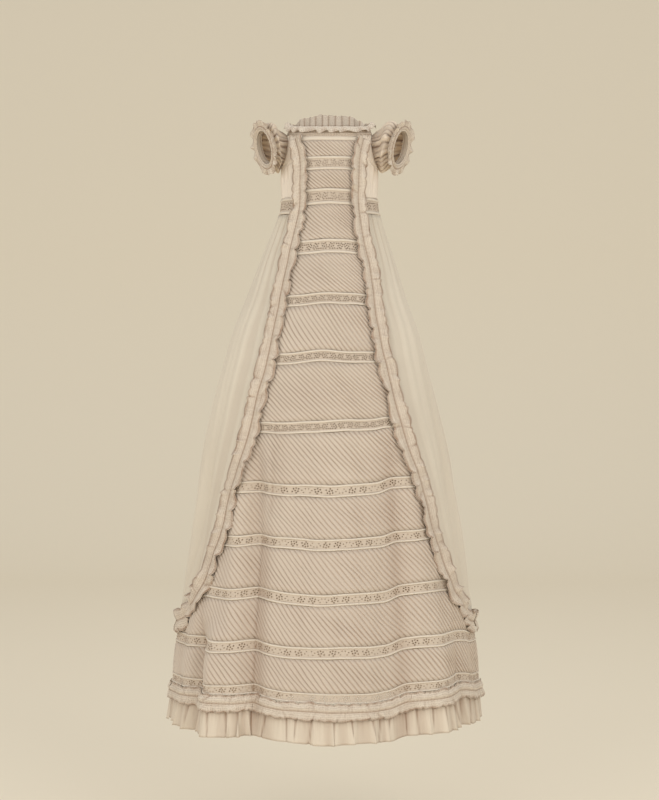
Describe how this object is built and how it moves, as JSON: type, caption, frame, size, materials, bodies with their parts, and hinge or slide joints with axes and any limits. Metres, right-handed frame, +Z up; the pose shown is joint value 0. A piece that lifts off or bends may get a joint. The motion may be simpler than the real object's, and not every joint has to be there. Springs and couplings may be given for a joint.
{
  "type": "baby dress",
  "caption": "Infant's long christening robe, hollow as worn, with a tucked and embroidered front panel, robings, puffed sleeves and a ruffled hem.",
  "frame": {"origin": "middle of the neck opening, level with the front of the neckline, where the wearer's neck and shoulders hold the dress up", "axes": "+Z up from hem to neck, the front of the dress faces -Y, the wearer's left side is at +X"},
  "size_m": [0.5137, 0.4259, 0.9745],
  "materials": {
    "cambric": "plain fine cotton, matt",
    "tucked": "fine cotton sewn in narrow diagonal tucks, matt",
    "embroidery": "cotton insertion with small worked eyelets, matt",
    "frill": "gathered cotton edging with worked dots, matt",
    "button": "thread-covered button"
  },
  "bodies": {
    "root": {"front_tucks_01": "tucked", "front_tucks_02": "tucked", "front_tucks_03": "tucked", "front_tucks_04": "tucked", "front_tucks_05": "tucked", "front_tucks_06": "tucked", "front_tucks_07": "tucked", "front_tucks_08": "tucked", "front_tucks_09": "tucked", "front_tucks_10": "tucked", "front_insertion_01": "embroidery", "front_insertion_02": "embroidery", "front_insertion_03": "embroidery", "front_insertion_04": "embroidery", "front_insertion_05": "embroidery", "front_insertion_06": "embroidery", "front_insertion_07": "embroidery", "front_insertion_08": "embroidery", "front_insertion_09": "embroidery", "bodice_front_left": "cambric", "bodice_front_right": "cambric", "bodice_back_left": "cambric", "bodice_back_right": "cambric", "waist_insertion_left": "embroidery", "waist_insertion_right": "embroidery", "skirt_left": "cambric", "skirt_right": "cambric", "neck_frill_back_left": "frill", "neck_frill_back_right": "frill", "neck_frill_front": "frill", "sleeve_left": "cambric", "sleeve_right": "cambric", "cuff_left": "embroidery", "cuff_right": "embroidery", "cuff_frill_left": "frill", "cuff_frill_right": "frill", "robing_left": "frill", "robing_right": "frill", "robing_back": "frill", "border_insertion_upper_front": "embroidery", "border_insertion_lower_front": "embroidery", "border_tucks_front": "tucked", "hem_heading_front": "frill", "hem_ruffle_front": "cambric", "border_insertion_upper_back": "embroidery", "border_insertion_lower_back": "embroidery", "border_tucks_back": "tucked", "hem_heading_back": "frill", "hem_ruffle_back": "cambric", "back_button_1": "button", "back_button_2": "button", "back_button_3": "button"}
  },
  "joints": []
}
